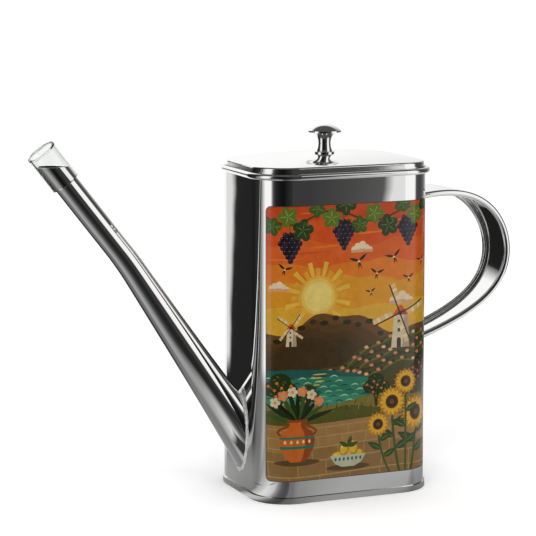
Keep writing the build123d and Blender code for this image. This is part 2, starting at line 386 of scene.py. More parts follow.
def ribbon(colour, line, width):
    """A band of even or changing width along a line of points."""
    widths = width if isinstance(width, list) else [width] * len(line)
    left, right = [], []
    for i, (x, y) in enumerate(line):
        ahead, behind = Vector(line[min(i + 1, len(line) - 1)]), Vector(line[max(i - 1, 0)])
        side = (ahead - behind).normalized().orthogonal() * widths[i] / 2
        left.append((x + side.x, y + side.y))
        right.append((x - side.x, y - side.y))
    paint(colour, left + right[::-1])


def land(colour, level, start=-45.0, end=45.0, step=3.0, foot=-5.0):
    """Everything below a level that changes along the picture."""
    count = round((end - start) / step)
    places = [start + (end - start) * i / count for i in range(count + 1)]
    paint(colour, [(x, level(x)) for x in places] + [(end, foot), (start, foot)])


print("flat sheet", round(2 * print_half, 1), "by", round(print_height, 1), "mm")

# %% Sky, sun, clouds and birds
def sky():
    """Bands from gold at the horizon to orange red, each with a wavy edge."""
    bands = [(200, 0.0, "#C74B1F"), (118, 1.3, "#D5541F"), (108, 1.6, "#DB6423"), (98.5, 1.2, "#E07F22"),
             (91.5, 1.5, "#DC9B22"), (79, 1.0, "#DDAF36")]
    for k, (level, sway, colour) in enumerate(bands):
        land(colour, lambda x: level + sway * sin(x / 9 + 2.1 * k) + 0.6 * sway * sin(x / 3.7 + k))
    for k in range(9):
        x, y = -34 + 17 * (k * 0.62 % 4), 101 + 2.6 * k
        leaf("#CC5522" if k % 2 else "#E27B30", x - 9, y, 20 + 2 * (k % 3), 0.9, 2)


def sun(x=-17.0, y=84.0):
    """A pale sun with a wheel of rays."""
    for k in range(24):
        box("#E7BE4C" if k % 2 else "#E2A63A", x, y, 0.6, 16 if k % 2 else 13, 15 * k, top=2.2)
    for size, colour in ((19, "#E3B347"), (16.5, "#EBCB68"), (13.5, "#EEDC8E")):
        oval(colour, x, y, size, steps=32)


def cloud(x, y, size, light, shade):
    """A flat-bottomed cloud of round heaps, lit from above."""
    heaps = [(-1.0, 0.05, 0.75), (-0.45, 0.35, 1.0), (0.2, 0.5, 1.15), (0.8, 0.2, 0.85), (1.3, 0.0, 0.6)]
    for colour, drop, grow in ((shade, 0.0, 1.0), (light, 0.12, 0.86)):
        for dx, dy, wide in heaps:
            oval(colour, x + dx * size, y + (dy + drop) * size, wide * size * grow, steps=16)
    box(shade, x + 0.15 * size, y - 0.3 * size, 3.0 * size, 0.35 * size, top=2.7 * size)


def birds():
    """Swallows: two bent wings and a forked tail each."""
    for x, y, size, tilt in ((3, 99, 5.2, 12), (12, 93, 4.2, -8), (20.5, 100, 4.8, 20), (28, 90, 3.6, 5),
                             (-33, 97, 4.0, -15), (9, 84.5, 3.0, 10), (36, 97.5, 3.4, 15)):
        for side, bent in ((1, 28), (-1, 152)):
            leaf("#33261E", x, y, size, size * 0.26, tilt + bent)
            leaf("#33261E", x, y, size * 0.75, size * 0.13, tilt - 90 + 12 * side)
        oval("#F1E3CC", x, y - size * 0.04, size * 0.28, size * 0.16, tilt, steps=8)


sky()
sun()
for x, y, size in ((24, 79.5, 4.2), (-36, 88, 3.2), (4, 104, 3.6)):
    cloud(x, y, size, "#EADCD2", "#D9A990")
birds()
print("shapes so far:", len(layers))

# %% Hills, lake and windmills
def far_hill(x):
    """Height of the far range."""
    return 71 + 5.0 * sin(x / 11 + 2.4) + 1.5 * sin(x / 3.9)


def near_hill(x):
    """Height of the terraced hill that slopes down to the left."""
    return 58 + 9.0 * tanh((x - 4) / 14) + 0.9 * sin(x / 3.1)


def hills():
    """A far range in brown, and a nearer hill in terraces with blossoming shrubs."""
    land("#6B4A2A", far_hill)
    for k, colour in enumerate(("#59401F", "#4D3A20", "#43341F"), 1):
        land(colour, lambda x: far_hill(x + 3 * k) - 3.4 * k - 0.5 * sin(x / 2.3))
    for k in range(16):
        x = -42 + 5.6 * k
        oval("#33301D", x, far_hill(x) - 1.0 - 1.7 * (k % 3), 3.2 + (k % 2), 2.4, steps=12)
    land("#4A4A22", near_hill, step=2.0)
    for k in range(5):
        line = [(x, near_hill(x) - 3.1 * k - 2.2) for x in range(-44, 46, 3)]
        ribbon(("#6B6A2F", "#35381D")[k % 2], line, 0.9)
        for i in range(15):
            x = -41 + 6 * i + 2.6 * (k % 2)
            blossom = "#D08A70" if (i * 3 + k) % 4 else "#E4B5A0"
            oval(blossom, x, near_hill(x) - 3.1 * k - 1.4, 2.2, 1.5, steps=9)
            oval("#2F3A1E", x + 1.7, near_hill(x + 1.7) - 3.1 * k - 1.5, 1.8, 1.7, steps=9)


def windmill(x, y, size, turn):
    """A white tower with an orange cap and four latticed sails."""
    box("#D8CFC6", x, y, 0.62 * size, size, top=0.42 * size)
    box("#B3A49C", x + 0.19 * size, y, 0.24 * size, size, top=0.14 * size)
    paint("#D2571E", scaled([(-0.27, 1), (0.27, 1), (0.04, 1.3), (-0.04, 1.3)], x, y, size))
    box("#A8441A", x + 0.1 * size, y + size, 0.2 * size, 0.16 * size, top=0.12 * size)
    box("#4A3324", x - 0.05 * size, y, 0.14 * size, 0.24 * size)
    oval("#4A3324", x - 0.05 * size, y + 0.24 * size, 0.14 * size, steps=10)
    for level in (0.48, 0.74):
        box("#3C4A58", x - 0.05 * size, y + level * size, 0.09 * size, 0.11 * size)
    hub = (x - 0.02 * size, y + 1.06 * size)
    for k in range(4):
        angle = turn + 90 * k
        box("#3A2A20", *hub, 0.045 * size, 0.95 * size, angle)
        lattice = turned([(0.1 * size, (0.25 + 0.14 * i) * size) for i in range(5)], *hub, angle)
        for i, place in enumerate(lattice):
            box("#E9DCC8" if i % 2 else "#D9C3A6", *place, 0.15 * size, 0.115 * size, angle)
    oval("#3A2A20", *hub, 0.13 * size, steps=10)


def lake():
    """Bands of water with rows of small waves and a reflected light."""
    shore = [(-45, 33), (-45, 50.5), (-30, 51.5), (-12, 50.2), (2, 47.5), (13, 43), (21, 38), (27, 33)]
    paint("#2C7F74", shore)
    paint("#1F5F66", [(-45, 46.5)] + shore[1:5] + [(8, 45.5), (-8, 46.9), (-28, 47.6)])
    paint("#3A9284", [(-45, 33), (-45, 39), (-30, 40.3), (-10, 39), (8, 37), (22, 33)])
    for row in range(6):
        for i in range(13):
            x, y = -43 + 5.2 * i + 2.6 * (row % 2), 35.2 + 2.3 * row
            if x < 20 - 1.9 * (y - 35) - (6 if row > 3 else 0):
                arc = [(x - 2 + 0.67 * j, y + 0.75 * sin(pi * j / 6)) for j in range(7)]
                colour = ("#6FB7A4", "#17474F", "#A9D2BF")[(row + i) % 3]
                ribbon(colour, arc, [0.1, 0.35, 0.5, 0.55, 0.5, 0.35, 0.1])
    for k in range(4):
        oval("#E6C56A", -17 + 0.8 * (-1) ** k, 48.5 - 1.6 * k, 7 - 1.3 * k, 0.55, steps=12)


hills()
windmill(24, 58, 15, 22)
windmill(-30, 62, 8, 55)
lake()
print("shapes so far:", len(layers))

# %% Meadow, paving and fruit trees
def ground():
    """A dry meadow, then sandy paving with pale joints."""
    land("#7C7436", lambda x: 35.5 + 1.2 * sin(x / 7) + 0.05 * x)
    land("#565A26", lambda x: 32.2 + 1.0 * sin(x / 5 + 2))
    for k in range(40):
        colour, tilt = "#8E8C40" if k % 2 else "#3C4520", 14 * ((k * 7) % 5 - 2)
        leaf(colour, -43 + 2.2 * k, 30.5 + 1.4 * (k % 3), 2.8, 0.5, 90 + tilt, steps=3)
    land("#A07F55", lambda x: 26.5 + 0.8 * sin(x / 16))
    land("#8F7148", lambda x: 14.5 + 1.2 * sin(x / 14 + 1))
    joints, joint_colour = (24.6, 20.4, 15.6, 9.6, 2.6, -3), "#B89A6C"
    for k, (high, low) in enumerate(zip(joints, joints[1:])):
        ribbon(joint_colour, [(x, high + 0.8 * sin(x / 16)) for x in range(-45, 46, 5)], 0.3 + 0.05 * k)
        for i in range(9):
            x = -46 + (11 + k) * i + 5 * (k % 2)
            sway = 0.8 * sin(x / 16)
            ribbon(joint_colour, [(x, high + sway), (x - 0.02 * x, low + sway)], 0.3)


def fruit_tree(x, y, size, dark, light, fruit):
    """A forked trunk under a round crown, with brushed leaves and fruit."""
    for lean in (-0.3, 0.25):
        trunk = scaled([(0, -0.9), (0.25 * lean, -0.35), (lean, 0.2)], x, y, size)
        ribbon("#3B2818", trunk, [0.16 * size, 0.11 * size, 0.05 * size])
    for dx, dy, wide in ((-0.45, 0.05, 1.0), (0.45, 0.0, 1.0), (0.0, 0.4, 1.25), (0.0, -0.05, 1.1)):
        oval(dark, x + dx * size, y + (dy + 0.35) * size, wide * size, wide * size * 0.85, steps=20)
    for k in range(22):
        t, r = 2.4 * k, 0.19 * size * sqrt(k)
        px, py = x + r * cos(t), y + 0.42 * size + 0.75 * r * sin(t)
        leaf(light, px, py, 0.2 * size, 0.08 * size, 40 + 25 * k, steps=3)
    for k in range(7):
        t, r = 2.4 * k + 1, 0.28 * size * sqrt(k + 0.3)
        oval(fruit, x + r * cos(t), y + 0.4 * size + 0.7 * r * sin(t), 0.17 * size, steps=9)


ground()
fruit_tree(-35, 39, 8.5, "#2A3A1F", "#55702F", "#D9772A")
fruit_tree(-22, 36.5, 6.0, "#34431F", "#6B7F35", "#E0A22B")
fruit_tree(12, 38, 7.0, "#26331D", "#4E6A2E", "#D9772A")
fruit_tree(37, 43, 9.0, "#2E2A1B", "#575A2A", "#C9531F")
print("shapes so far:", len(layers))

# %% Jar of flowers, bowl of lemons and sunflowers
def sunflower(x, y, size, foot):
    """A flower with two rings of petals, a stalk down to its foot, and leaves."""
    bend = [(x + (foot - x) * t ** 2 / 36, y - y * t / 6) for t in range(7)]
    ribbon("#3F5A25", bend, 0.2 * size)
    for side, share in ((1, 2), (-1, 3), (1, 4)):
        px, py = bend[share]
        leaf("#2F4A22", px, py, 1.5 * size, 0.6 * size, 90 - 62 * side)
        leaf("#6E8C3A", px, py, 1.2 * size, 0.07 * size, 90 - 62 * side, steps=3)
    for ring, (colour, reach) in enumerate((("#C98A1A", 1.25), ("#E5B52C", 1.08))):
        for k in range(15):
            leaf(colour, x, y, reach * size, 0.36 * size, 24 * k + 12 * ring, steps=5)
    for wide, colour in ((1.05, "#5B3A1C"), (0.8, "#3A2618"), (0.4, "#6E4A22")):
        oval(colour, x, y, wide * size, steps=16)


def jar(x, y, size, body, dark, stripe):
    """A terracotta jar with two ears and painted stripes."""
    half = [(0.2, 0), (0.33, 0.12), (0.46, 0.35), (0.5, 0.58), (0.42, 0.8), (0.24, 0.93), (0.2, 1.02),
            (0.27, 1.1)]
    for side in (-1, 1):
        ear = [(side * (0.24 + 0.3 * sin(t / 6 * pi)), 0.98 - 0.34 * t / 6) for t in range(7)]
        ribbon(dark, scaled(ear, x, y, size), 0.07 * size)
    for colour, share in ((body, -1), (dark, 0.45)):
        paint(colour, scaled(half + [(share * w, h) for w, h in half[::-1]], x, y, size))
    for (w1, h1), (w2, h2) in ((half[2], (0.48, 0.43)), ((0.5, 0.62), (0.48, 0.68))):
        paint(stripe, scaled([(-w1, h1), (w1, h1), (w2, h2), (-w2, h2)], x, y, size))
    box(dark, x, y + 1.07 * size, 0.58 * size, 0.07 * size)
    for k in range(5):
        oval("#EBD9B4", x + (k - 2) * 0.17 * size, y + 0.54 * size, 0.07 * size, 0.1 * size, steps=8)


def bouquet(x, y, size):
    """Long grassy leaves and small flowers that stand in a jar."""
    for k in range(11):
        colour, length = ("#25351F", "#3E5A2B", "#1C2A1A")[k % 3], size * (1.0 + 0.15 * cos(2 * k))
        leaf(colour, x, y, length, 0.13 * size, 90 + 15 * (k - 5))
    for k in range(6):
        t = radians(40 + 20 * k)
        px, py = x + 0.8 * size * cos(t), y + 0.85 * size * sin(t)
        for j in range(5):
            turn = 1.257 * j
            oval("#D9D3D0" if k % 2 else "#D98A6E", px + 0.09 * size * cos(turn),
                 py + 0.09 * size * sin(turn), 0.12 * size, steps=8)
        oval("#D9A21B", px, py, 0.09 * size, steps=8)


def lemons(x, y, size):
    """A bowl of lemons with leaves."""
    heap = scaled([(-0.55, 0.25), (0.5, 0.28), (0.0, 0.38), (-0.2, 0.62), (0.3, 0.66)], x, y, size)
    for k, (px, py) in enumerate(heap):
        oval("#B98A1C", px, py, 0.74 * size, 0.5 * size, 25 * k)
        oval("#E0BE3A", px - 0.03 * size, py + 0.04 * size, 0.64 * size, 0.4 * size, 25 * k)
        oval("#F0DC86", px - 0.12 * size, py + 0.1 * size, 0.2 * size, 0.1 * size, 25 * k, steps=8)
    for angle in (20, 75, 150):
        leaf("#3C5A2A", x + 0.02 * size, y + 0.72 * size, 0.6 * size, 0.24 * size, angle)
    bowl = [(-1, 0.3), (1, 0.3), (0.72, -0.12), (0.35, -0.3), (-0.35, -0.3), (-0.72, -0.12)]
    paint("#BFC8C4", scaled(bowl, x, y, size))
    for k in range(7):
        oval("#2F6F8A", x + (k - 3) * 0.23 * size, y + 0.1 * size, 0.13 * size, 0.2 * size, steps=8)


oval("#5E4A30", -27, 8.6, 22, 3.0)
bouquet(-27, 27, 17)
jar(-27, 9, 17, "#CB6A24", "#96451A", "#2B7A75")
oval("#5E4A30", -2, 4.6, 22, 3.0)
lemons(-2, 7.5, 9)
for x, y, size, foot in ((20, 33, 6.2, 24), (33, 27, 7.2, 30), (27, 42, 5.2, 27), (13, 23, 5.0, 19)):
    sunflower(x, y, size, foot)
print("shapes so far:", len(layers))

# %% Vine
def vine_leaf(x, y, size, angle, colour, light):
    """A five-lobed leaf with pale veins."""
    edge = []
    for i in range(40):
        t = tau * i / 40
        lobes = 0.66 + 0.34 * abs(cos(2.5 * t)) ** 0.8
        edge.append((size * lobes * cos(t), size * lobes * sin(t)))
    paint(colour, turned(edge, x, y, angle))
    for k in range(5):
        leaf(light, x, y, size * 0.8, size * 0.07, angle + 72 * k, steps=3)


def grapes(x, y):
    """A hanging bunch, each grape with a spot of light."""
    for row, count in enumerate((3, 4, 5, 4, 3, 2, 1)):
        for i in range(count):
            gx, gy = x + 2.25 * (i - (count - 1) / 2), y - 1.95 * row
            oval("#22202E" if (i + row) % 3 else "#312A44", gx, gy, 2.5, 2.6, steps=14)
            oval("#6D6A86", gx - 0.4, gy + 0.5, 0.7, 0.5, 30, steps=6)


def vine():
    """A vine along the top, with leaves, tendrils and three bunches."""
    def hang(x):
        return print_height - 5.5 - 2.8 * sin(x / 6.5)
    stem = [(x, hang(x)) for x in range(-44, 46, 2)]
    ribbon("#5A3B1F", stem, 0.9)
    for x in (-31, -5, 27):
        ribbon("#4F6A2B", [(x, hang(x)), (x + 0.6, hang(x) - 3.5)], 0.5)
        grapes(x + 0.6, hang(x) - 4.6)
    for k, x in enumerate(range(-40, 44, 7)):
        up = 1 if k % 2 else -1
        colour, light = (("#3F5F2C", "#7E9A45"), ("#5C7A2F", "#A3B35A"), ("#2C4526", "#6B8A43"))[k % 3]
        ribbon("#5C7A2F", [(x, hang(x)), (x + 1.5, hang(x) + 1.8 * up)], 0.4)
        vine_leaf(x + 1.5, hang(x) + 3.4 * up, 4.3 + 0.5 * (k % 3), 40 * k, colour, light)
        curl = [(1.3 * cos(t / 2) * (1 - t / 14), 1.3 * sin(t / 2) * (1 - t / 14))
                for t in range(13)]
        ribbon("#6F8B36", scaled(curl, x + 4, hang(x + 4) - 2.4, 1), 0.28)


vine()
print("shapes so far:", len(layers))

# %% [markdown]
# ## One mesh from all the shapes
#
# A triangulation with fixed edges cuts the flat sheet along every shape's edge and says which shapes cover
# each triangle. The topmost colours the triangle's corners, and the flat points are then bent round the can.

# %% Join the shapes and bend the sheet round the can
def wrapped(u, v, lift):
    """A point of the flat picture laid on the can: straight across the front, then round its corners."""
    turn = max(abs(u) - flat_half, 0.0) / (wall_corner + print_thickness)
    reach = wall_corner + lift
    x = min(abs(u), flat_half) + reach * sin(turn)
    y = wall_corner - wall_half_depth - reach * cos(turn)
    return Vector((copysign(x, u), y, print_low + v)) * mm


def sheet_outline(inset, steps=6):
    """The flat sheet with its rounded corners, moved inward by inset."""
    half, radius = print_half - inset, print_rounding - inset
    points = []
    for k, (sx, sy) in enumerate(((1, 1), (-1, 1), (-1, -1), (1, -1))):
        for i in range(steps + 1):
            t = pi / 2 * (k + i / steps)
            middle = print_height / 2 + sy * (print_height / 2 - print_rounding)
            points.append((sx * (half - radius) + radius * cos(t), middle + radius * sin(t)))
    return points


def cut(shapes, bends=12, beyond=1.0):
    """Flat shapes cut along all edges and along the bends, with the shapes that each triangle lies in."""
    lines = [flat_half + (print_half - flat_half) * i / bends for i in range(bends)]
    span = (-beyond, print_height + beyond)
    ends = [Vector((side * u, v)) for side in (-1, 1) for u in lines for v in span]
    points, faces = [], []
    for shape in shapes:
        faces.append(list(range(len(points), len(points) + len(shape))))
        points += [Vector(p) for p in shape]
    edges = [(len(points) + i, len(points) + i + 1) for i in range(0, len(ends), 2)]
    corners, _, triangles, _, _, sources = geometry.delaunay_2d_cdt(points + ends, edges, faces, 0, 1e-4)
    return corners, [(triangle, source) for triangle, source in zip(triangles, sources) if 0 in source]


def printed_sheet():
    """The bent sheet: picture and dark border in front, the cut edge, and a plain back."""
    bm = bmesh.new()
    ink = bm.loops.layers.float_color.new("ink")

    def lay(vertices, colour, smooth=True):
        face = bm.faces.new(vertices)
        face.smooth = smooth
        for loop in face.loops:
            loop[ink] = linear(colour)

    corners, front = cut([sheet_outline(0.0), sheet_outline(border)] + [shape for colour, shape in layers])
    used = sorted({i for triangle, source in front for i in triangle})
    made = {i: bm.verts.new(wrapped(*corners[i], print_thickness)) for i in used}
    for triangle, source in front:
        colour = layers[max(source) - 2][0] if 1 in source else border_colour
        lay([made[i] for i in triangle], colour)
    place = {vertex: corners[i] for i, vertex in made.items()}
    rim = [edge for edge in bm.edges if edge.is_boundary]
    below = {vertex: bm.verts.new(wrapped(*place[vertex], 0.0)) for edge in rim for vertex in edge.verts}
    after = {edge.link_loops[0].vert: edge.link_loops[0].link_loop_next.vert for edge in rim}
    for edge in rim:
        edge.smooth = False
    for vertex, following in after.items():
        lay([following, vertex, below[vertex], below[following]], border_colour, smooth=False)
    around = [next(iter(after))]
    while after[around[-1]] is not around[0]:
        around.append(after[around[-1]])
    corners, back = cut([[tuple(place[vertex]) for vertex in around]])
    nearest = [below[min(around, key=lambda vertex: (place[vertex] - corner).length)] for corner in corners]
    for triangle, source in back:
        lay([nearest[i] for i in reversed(triangle)], border_colour)
    return bm

# %% [markdown]
# ## Ink under varnish
#
# The sheet is thin steel, printed and varnished: coloured ink with a fine grain under an even gloss.
# The eye sees flat colour with a soft sheen, darker and warmer than the ink itself, as varnish makes it.

# %% Print material
# In millimetres: the sizes of grain, mottles and ripples, and the ripples' depth.
print_grain, print_mottle, varnish_ripple, ripple_depth = 0.28571, 3.8462, 1.1111, 0.004
varnish_tint = (0.52, 0.47, 0.33)


def printed_ink():
    """Ink under clear varnish: print grain, slight mottling of the ink, and a gloss that isn't quite even."""
    made, tree, shader = new_material("printed_ink_under_varnish")
    place = node(tree, "TexCoord").outputs["Object"]
    ink = node(tree, "Attribute", attribute_name="ink")
    warm = node(tree, "VectorMath", {0: ink, 1: varnish_tint}, operation="MULTIPLY")
    grain = node(tree, "TexNoise", {"Vector": place, "Scale": per_metre(print_grain), "Detail": 2.0})
    mottle = node(tree, "TexNoise", {
        "Vector": place, "Scale": per_metre(print_mottle), "Detail": 4.0, "Roughness": 0.6})
    fine, broad = (node(tree, "MapRange", {
        "Value": source, "From Min": 0.3, "From Max": 0.7, "To Min": 0.90, "To Max": 1.08})
        for source in (grain, mottle))
    amount = node(tree, "Math", {0: fine, 1: broad}, operation="MULTIPLY")
    inked = node(tree, "VectorMath", {0: warm, "Scale": amount}, operation="SCALE")
    gloss = node(tree, "MapRange", {
        "Value": mottle, "From Min": 0.3, "From Max": 0.7, "To Min": 0.10, "To Max": 0.2})
    skin = node(tree, "TexNoise", {"Vector": place, "Scale": per_metre(varnish_ripple), "Detail": 2.0})
    bump = node(tree, "Bump", {"Height": skin, "Distance": ripple_depth * mm})
    feed(shader, {"Base Color": inked, "Roughness": gloss, "Normal": bump})
    return made


add_piece("printed_picture", printed_sheet(), printed_ink(), "can", "printed_sheet", "picture_sheet")

# %% [markdown]
# ## The clear cap
#
# The cap is soft clear vinyl, moulded as a short tube with one closed end.
# It is turned from its section: a thick wall, a closed end and small rounded edges.
# The wall is real, with an inner and an outer face, because bent light in it draws the fine lines at the end.
# Vinyl bends light by about 1.5. Here it is less, because the thin cap in the photograph hardly bends it.

# %% Clear cap
cap_length, cap_sheet, cap_edge, cap_steps, sharp_turn = 17.9, 1.1, 0.2, 96, 1.0
mould_ripple, mould_depth, rub_size, vinyl_index = 4.5455, 0.01, 2.0, 1.38
cap_low, cap_high = (Vector(c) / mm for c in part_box("spout_cap"))
cap_joint = next(joint for joint in frame["record"]["behaviour"]["joints"] if joint["name"] == "cap_pull")
pull = Vector(cap_joint["axis"]).normalized()
cap_radius = (cap_high.y - cap_low.y) / 2
cap_start = Vector((cap_high.x - cap_radius * pull.z, 0.0, cap_low.z - cap_radius * pull.x))


def cap_mesh():
    """The cap's section, spun about the line that it slides on."""
    bore = cap_radius - cap_sheet
    section = [(0, cap_length - cap_sheet), (bore, cap_length - cap_sheet), (bore, 0), (cap_radius, 0),
               (cap_radius, cap_length), (0, cap_length)]
    bm = bmesh.new()
    line = [bm.verts.new((cap_start + across * r + pull * t) * mm) for r, t in section]
    edges = [bm.edges.new(pair) for pair in zip(line, line[1:])]
    bmesh.ops.spin(bm, geom=line + edges, cent=cap_start * mm, axis=pull, angle=tau, steps=cap_steps,
                   use_merge=True)
    bmesh.ops.remove_doubles(bm, verts=bm.verts, dist=0.001 * mm)
    bmesh.ops.recalc_face_normals(bm, faces=bm.faces)
    sharp = [edge for edge in bm.edges if edge.is_manifold and edge.calc_face_angle() > sharp_turn]
    bmesh.ops.bevel(bm, geom=sharp, offset=cap_edge * mm, offset_type="OFFSET", segments=4, profile=0.5,
                    affect="EDGES", material=-1)
    for face in bm.faces:
        face.smooth = True
    return bm


def clear_vinyl():
    """Clear soft plastic with the faint ripples of its mould."""
    made, tree, shader = new_material("clear_vinyl")
    place = node(tree, "TexCoord").outputs["Object"]
    ripple = node(tree, "TexNoise", {"Vector": place, "Scale": per_metre(mould_ripple), "Detail": 2.0})
    bump = node(tree, "Bump", {"Height": ripple, "Distance": mould_depth * mm})
    rubbed = node(tree, "TexNoise", {"Vector": place, "Scale": per_metre(rub_size), "Detail": 4.0})
    haze = node(tree, "MapRange", {
        "Value": rubbed, "From Min": 0.4, "From Max": 0.75, "To Min": 0.01, "To Max": 0.06})
    feed(shader, {"Base Color": linear("#FBFCFB"), "Transmission Weight": 1.0, "IOR": vinyl_index,
                  "Roughness": haze, "Normal": bump})
    return made


add_piece("clear_cap", cap_mesh(), clear_vinyl(), "cap", "clear_plastic", "spout_cap")

# %% [markdown]
# ## The soldered joint
#
# The spout's root is soldered to the wall. Solder runs into the corner between the two and freezes in small
# folds, thickest at the top, where the corner is sharpest. Its dull, whitish skin hides part of the mirror.
# The bead is a band of sections that follow the seam, each a hollow curve from the wall to the tube.
# Noise from the same formula each time pushes its middle rows in and out.

# %% Solder bead
# In millimetres: how far the bead reaches on the wall and on the tube, and how much further at its top.
foot_reach, foot_sway, lip_reach, lip_sway, top_reach = 0.9, 0.4, 1.1, 0.5, 2.6
# How deep its folds are, how much deeper at the top, and over how many degrees the top fades.
fold_depth, top_fold_depth, top_spread = 0.10, 0.32, 42.0
# How far its edges stand off the wall and the tube, and how far its closed back lies within the metal.
wall_lift, lip_lift, wall_sink, tube_sink, back_reach = 0.04, 0.12, 0.3, 0.25, 0.8


def on_spout(turn, along, lift=0.0):
    """A point on the flared tube, at an angle round it and a distance along it."""
    out = across * cos(turn) + upper * sin(turn)
    return root_centre + spout_line * along + out * (root_radius - root_slope * along + lift)


def seam(turn):
    """How far along the tube its surface meets the wall."""
    lean = tan(spout_turn) * sin(turn)
    return lean * root_radius / (1 + lean * root_slope)


def bead_mesh(steps=220, rows=9, aside=0.02):
    """Sections from the wall to the tube, closed behind inside the metal."""
    bm = bmesh.new()
    rings = []
    for k in range(steps):
        turn = tau * k / steps
        top = exp(-((degrees(turn) - 90) / top_spread) ** 2)
        meeting = on_spout(turn, seam(turn))
        step = on_spout(turn + aside, seam(turn + aside)) - on_spout(turn - aside, seam(turn - aside))
        outward = step.cross(Vector((1, 0, 0))).normalized()
        if outward.dot(meeting - root_centre) < 0:
            outward = -outward
        foot = meeting + outward * (foot_reach + foot_sway * noise.noise(meeting * 0.5))
        sway = lip_sway * noise.noise(meeting * 0.45 + Vector((9, 0, 0)))
        lip = on_spout(turn, seam(turn) + lip_reach + top_reach * top + sway, lip_lift)
        ring = [bm.verts.new((meeting + Vector((wall_sink, 0, 0)) - outward * wall_sink) * mm)]
        for j in range(rows):
            s = j / (rows - 1)
            point = foot * (1 - s) ** 2 + meeting * 2 * s * (1 - s) + lip * s * s
            fold = noise.noise(point * 1.1) + 0.6 * noise.noise(point * 2.7)
            depth = (fold_depth + top_fold_depth * top) * (fold + 0.35)
            push = (Vector((-1, 0, 0)) + outward).normalized() * depth
            point += push * sin(pi * s) + Vector((-wall_lift, 0, 0))
            ring.append(bm.verts.new(point * mm))
        ring.append(bm.verts.new(on_spout(turn, seam(turn) + back_reach, -tube_sink) * mm))
        rings.append(ring)
    for ring, other in zip(rings, rings[1:] + rings[:1]):
        for i in range(len(ring)):
            j = (i + 1) % len(ring)
            bm.faces.new((ring[i], ring[j], other[j], other[i])).smooth = True
    bmesh.ops.recalc_face_normals(bm, faces=bm.faces)
    return bm


solder = steel("frozen_solder", ("#E9E9E8", "#F4F4F3"), 0.14, any_way, 0.004, 0.08, wave_size=5.5556,
               metallic=0.6)
add_piece("solder_bead", bead_mesh(), solder, "can", "polished_steel", "spout_joint")

# %% [markdown]
# ## The studio
#
# Mirror-bright steel shows little of its own colour: it shows the room.
# The room here is a round white tent with dark cards in it, as photographers use for silver and glass.
# The tent is seen only in reflections, and one lamp and the world light the can and the pale floor.

# %% White floor, world and lamp
# The studio is measured in metres. The world looks plain white, and its soft light is a little stronger.
floor_half, lamp_place, lamp_aim, soft_light = 6.0, Vector((-0.5, -0.9, 1.3)), Vector((0, 0, 0.08)), 1.08
floor_material, tree, shader = new_material("white_floor")
feed(shader, {"Base Color": linear("#FCFCFC"), "Roughness": 1.0, "Specular IOR Level": 0.0})


def stage_object(name, bm, finish):
    """Something in the studio that is no part of the can."""
    made = stand_mesh(name, bm, finish)
    return made


bm = bmesh.new()
bmesh.ops.create_grid(bm, x_segments=1, y_segments=1, size=floor_half)
stage_object("floor", bm, floor_material)

world = bpy.data.worlds.new("studio")
world.use_nodes = True
bpy.context.scene.world = world
tree = world.node_tree
tree.nodes.clear()
path = node(tree, "LightPath").outputs
seen = path["Is Camera Ray"]
for other in (path["Is Glossy Ray"], path["Is Transmission Ray"]):
    seen = node(tree, "Math", {0: seen, 1: other}, operation="MAXIMUM")
strength = node(tree, "MapRange", {"Value": seen, "To Min": soft_light, "To Max": 1.0})
backdrop = node(tree, "Background", {"Color": linear("#FFFFFF"), "Strength": strength})
node(tree, "OutputWorld", {"Surface": backdrop})

lamp_data = bpy.data.lights.new("soft_lamp", "AREA")
lamp_data.shape, lamp_data.size, lamp_data.energy = "DISK", 0.8, 6.0
lamp = stand("soft_lamp", lamp_data)
lamp.location = lamp_place
lamp.rotation_euler = (lamp_aim - lamp_place).to_track_quat("-Z", "Y").to_euler()
lamp.visible_glossy = False
bpy.context.scene.view_settings.view_transform = "Standard"
print("lamp at", round(lamp_place.length, 2), "m")

# %% Reflection tent
# Grey levels by direction in degrees: 0 is behind the can, -90 the spout's side, 90 the handle's.
# They are set by comparing the stripes in the steel with the photograph's.
tent_dark = [(-180, 48), (-165, 34), (-154, 17), (-142, 22), (-130, 34), (-122, 62), (-118, 105),
             (-114.5, 200), (-111, 252), (-93, 252), (-87, 215), (-80, 150), (-74, 90), (-66, 48), (-40, 28),
             (-22, 36), (152, 92), (154, 74), (156, 58)]
# A white sheet stands between these two, its edges too sharp for the ramp's own table.
sheet_edges = ((-22.2, -21.95), (152.7, 152.25))
tent_light = [(-22, 220), (-19, 255), (25, 255), (45, 215), (62, 140), (76, 90), (92, 66), (108, 74),
              (111, 100), (114.5, 215), (118, 252), (146, 250), (152, 226)]
# The table a little way off, and the table right under the can.
tent_table = [(-180, 40), (-160, 34), (-150, 40), (-140, 55), (-130, 75), (-120, 112), (-110, 147),
              (-98, 158), (-93, 180), (-88, 146), (-80, 115), (-70, 112), (-60, 104), (-50, 66), (-40, 38),
              (-21, 34), (-17, 225), (-10, 248), (90, 225), (135, 210), (143, 180), (150, 100), (160, 55),
              (170, 44)]
tent_foot = [(-180, 84), (-174, 73), (-165, 92), (-158, 140), (-150, 205), (-135, 225), (-122, 196),
             (-108, 176), (-98, 134), (-88, 122), (-72, 131), (-50, 136), (-36, 142), (-26, 152), (0, 190),
             (90, 140), (111, 138), (116, 120), (121, 161), (134, 167), (142, 165), (150, 156), (158, 141),
             (164, 136), (172, 113)]
# How far from the can each of these two starts and is whole, and how high the tent darkens to its ceiling.
table_blends = ((tent_table, 0.36, 0.28), (tent_foot, 0.16, 0.06))
ceiling_grey, ceiling_blend = 78, (1.0, 1.6)
# The directions are seen from a place a little to the spout's side.
tent_radius, tent_height, tent_lift, spout_side_shift = 1.2, 2.0, 0.0001, 0.036


def grey(level):
    """The linear value of a grey level from 0 to 255."""
    return linear("#" + 3 * f"{round(level):02X}")


